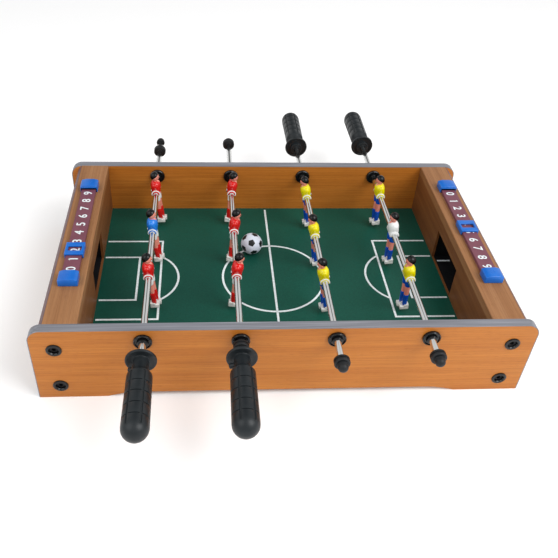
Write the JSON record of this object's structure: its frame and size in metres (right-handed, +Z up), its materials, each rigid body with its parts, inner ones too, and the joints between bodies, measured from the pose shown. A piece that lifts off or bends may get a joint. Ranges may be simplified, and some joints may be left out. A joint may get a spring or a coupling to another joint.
{
  "type": "foosball table",
  "caption": "Small tabletop football table: wooden cabinet with green field and goals, sliding and spinning chrome rods with toy figures, sliding score markers and a loose ball.",
  "frame": {"origin": "on the tabletop that the feet stand on, midway along the goals' line and midway between the outermost handle tips", "axes": "+X from the left goal to the right goal, +Y along the rods away from the front board, +Z up"},
  "size_m": [0.51, 0.5918, 0.1098],
  "materials": {
    "stained_beech_board": "satin lacquer",
    "end_wood": "satin foil",
    "inner_dark_wood": "matt",
    "edge_band_grey": "matt",
    "field_green": "satin print",
    "goal_black": "matt",
    "softwood": "raw",
    "bush_black": "gloss",
    "bolt_steel": "zinc plated",
    "chrome_rod": "polished",
    "rubber_black": "matt",
    "handle_black": "satin moulded",
    "marker_blue": "gloss",
    "strip_plum": "satin",
    "figure_red": "gloss paint",
    "figure_yellow": "gloss paint",
    "figure_blue": "gloss paint",
    "figure_white": "gloss paint",
    "ball_white": "gloss"
  },
  "bodies": {
    "cabinet": {"bolt_washers": "bush_black", "bush_collars": "bush_black", "bush_sleeves": "bush_black", "corner_bolts": "bolt_steel", "corner_posts_left": "softwood", "corner_posts_right": "softwood", "edge_band_back": "edge_band_grey", "edge_band_front": "edge_band_grey", "end_top_left": "end_wood", "end_top_right": "end_wood", "end_wall_left": "end_wood", "end_wall_right": "end_wood", "field_rails": "softwood", "goal_cup_left": "goal_black", "goal_cup_right": "goal_black", "goal_panel_left": "inner_dark_wood", "goal_panel_right": "inner_dark_wood", "playfield": "field_green", "score_caps_left": "marker_blue", "score_caps_right": "marker_blue", "score_strip_left": "strip_plum", "score_strip_right": "strip_plum", "side_board_back": "stained_beech_board", "side_board_front": "stained_beech_board"},
    "score_marker_left": {"score_marker_left": "marker_blue"},
    "score_marker_right": {"score_marker_right": "marker_blue"},
    "ball": {"ball": "ball_white"},
    "bumpers_1": {"bumpers_1": "rubber_black"},
    "rod_1": {"rod_1": "chrome_rod", "handle_1": "handle_black", "end_cap_1": "rubber_black", "screws_1": "bolt_steel", "player_1_1": "figure_red", "player_1_2": "figure_blue", "player_1_3": "figure_red"},
    "bumpers_2": {"bumpers_2": "rubber_black"},
    "rod_2": {"rod_2": "chrome_rod", "handle_2": "handle_black", "end_cap_2": "rubber_black", "screws_2": "bolt_steel", "player_2_1": "figure_red", "player_2_2": "figure_red", "player_2_3": "figure_red"},
    "bumpers_3": {"bumpers_3": "rubber_black"},
    "rod_3": {"rod_3": "chrome_rod", "handle_3": "handle_black", "end_cap_3": "rubber_black", "screws_3": "bolt_steel", "player_3_1": "figure_yellow", "player_3_2": "figure_yellow", "player_3_3": "figure_yellow"},
    "bumpers_4": {"bumpers_4": "rubber_black"},
    "rod_4": {"rod_4": "chrome_rod", "handle_4": "handle_black", "end_cap_4": "rubber_black", "screws_4": "bolt_steel", "player_4_1": "figure_yellow", "player_4_2": "figure_white", "player_4_3": "figure_yellow"}
  },
  "joints": [
    {"name": "rod_1_push", "type": "slide", "parent": "cabinet", "child": "bumpers_1", "axis": [0, 1, 0], "range_m": [-0.0457, 0.0135]},
    {"name": "rod_1_spin", "type": "hinge", "parent": "bumpers_1", "child": "rod_1", "pos_m": [-0.144, 0.0051, 0.081], "axis": [0, 1, 0], "continuous": true},
    {"name": "rod_2_push", "type": "slide", "parent": "cabinet", "child": "bumpers_2", "axis": [0, 1, 0], "range_m": [-0.0659, 0.0008]},
    {"name": "rod_2_spin", "type": "hinge", "parent": "bumpers_2", "child": "rod_2", "pos_m": [-0.048, 0.0054, 0.081], "axis": [0, 1, 0], "continuous": true},
    {"name": "rod_3_push", "type": "slide", "parent": "cabinet", "child": "bumpers_3", "axis": [0, 1, 0], "range_m": [-0.0555, 0.0224]},
    {"name": "rod_3_spin", "type": "hinge", "parent": "bumpers_3", "child": "rod_3", "pos_m": [0.048, -0.0042, 0.081], "axis": [0, 1, 0], "continuous": true},
    {"name": "rod_4_push", "type": "slide", "parent": "cabinet", "child": "bumpers_4", "axis": [0, 1, 0], "range_m": [-0.0605, 0.0174]},
    {"name": "rod_4_spin", "type": "hinge", "parent": "bumpers_4", "child": "rod_4", "pos_m": [0.144, -0.0012, 0.081], "axis": [0, 1, 0], "continuous": true},
    {"name": "marker_left_slide", "type": "slide", "parent": "cabinet", "child": "score_marker_left", "axis": [0, 1, 0], "range_m": [-0.0294, 0.1081]},
    {"name": "marker_right_slide", "type": "slide", "parent": "cabinet", "child": "score_marker_right", "axis": [0, 1, 0], "range_m": [-0.0696, 0.0679]},
    {"name": "ball_roll", "type": "slide", "parent": "cabinet", "child": "ball", "axis": [1, 0, 0], "range_m": [-0.1691, 0.2171]}
  ]
}
